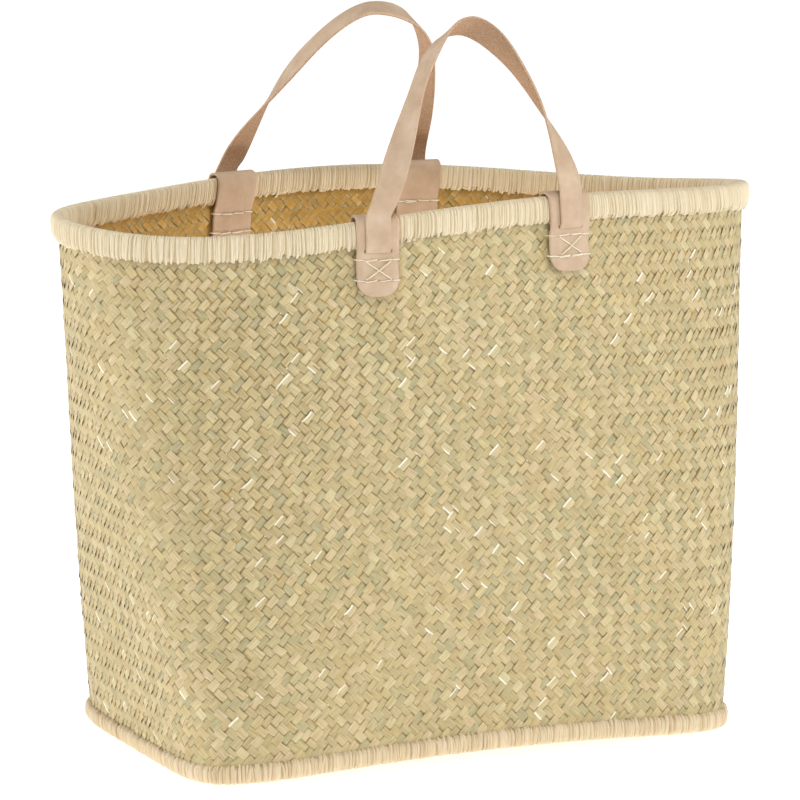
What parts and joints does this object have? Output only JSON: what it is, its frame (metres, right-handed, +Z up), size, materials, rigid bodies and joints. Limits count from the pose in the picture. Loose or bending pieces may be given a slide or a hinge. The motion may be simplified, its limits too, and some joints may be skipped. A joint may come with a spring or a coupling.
{
  "type": "woven market basket",
  "caption": "Tall soft basket plaited from flat palm strips, with a bound oval mouth and base and upright leather strap handles.",
  "frame": {"origin": "on the floor under the middle of the basket", "axes": "+X along the long side, +Z up, -Y is the front, the side whose handle stands more upright"},
  "size_m": [0.6197, 0.3087, 0.5933],
  "materials": {
    "plait": "flat palm strips plaited on the slant, straw with green and tan strips",
    "palm_bundle": "rough bundled palm fibre, hidden in the bindings",
    "raffia": "pale matt raffia wound tightly",
    "leather": "undyed vegetable tanned leather, smooth outside and suede inside",
    "raffia_thread": "cream raffia thread"
  },
  "bodies": {
    "basket": {"back_left_cross_stitches": "raffia_thread", "back_left_inner_stitches": "raffia_thread", "back_left_lower_stitches": "raffia_thread", "back_left_strap_end": "leather", "back_left_tab": "leather", "back_left_upper_stitches": "raffia_thread", "back_right_cross_stitches": "raffia_thread", "back_right_inner_stitches": "raffia_thread", "back_right_lower_stitches": "raffia_thread", "back_right_strap_end": "leather", "back_right_tab": "leather", "back_right_upper_stitches": "raffia_thread", "base_cord": "palm_bundle", "base_plait": "plait", "base_wrap": "raffia", "front_left_cross_stitches": "raffia_thread", "front_left_inner_stitches": "raffia_thread", "front_left_lower_stitches": "raffia_thread", "front_left_strap_end": "leather", "front_left_tab": "leather", "front_left_upper_stitches": "raffia_thread", "front_right_cross_stitches": "raffia_thread", "front_right_inner_stitches": "raffia_thread", "front_right_lower_stitches": "raffia_thread", "front_right_strap_end": "leather", "front_right_tab": "leather", "front_right_upper_stitches": "raffia_thread", "rim_inner_band": "palm_bundle", "rim_outer_band": "palm_bundle", "rim_wrap": "raffia", "wall_plait": "plait"},
    "front_strap_roots": {"front_left_strap_root": "leather", "front_right_strap_root": "leather"},
    "front_handle": {"front_strap_loop": "leather"},
    "back_strap_roots": {"back_left_strap_root": "leather", "back_right_strap_root": "leather"},
    "back_handle": {"back_strap_loop": "leather"}
  },
  "joints": [
    {"name": "front_handle_drop", "type": "hinge", "parent": "basket", "child": "front_strap_roots", "pos_m": [-0.00614, -0.13042, 0.42463], "axis": [0.9981, -0.0086, 0.0605], "range_deg": [0, 150], "stiffness_Nm_per_rad": 0.16},
    {"name": "front_handle_lean", "type": "hinge", "parent": "front_strap_roots", "child": "front_handle", "pos_m": [-0.00609, -0.12593, 0.45143], "axis": [-0.9981, 0.0097, -0.0609], "range_deg": [0, 34], "stiffness_Nm_per_rad": 0.16},
    {"name": "back_handle_drop", "type": "hinge", "parent": "basket", "child": "back_strap_roots", "pos_m": [-0.01891, 0.13931, 0.42342], "axis": [-0.9996, -0.0267, 0.0001], "range_deg": [0, 150], "stiffness_Nm_per_rad": 0.16},
    {"name": "back_handle_lean", "type": "hinge", "parent": "back_strap_roots", "child": "back_handle", "pos_m": [-0.01878, 0.13526, 0.45022], "axis": [0.9996, 0.03, -0.0001], "range_deg": [0, 18], "stiffness_Nm_per_rad": 0.16}
  ]
}
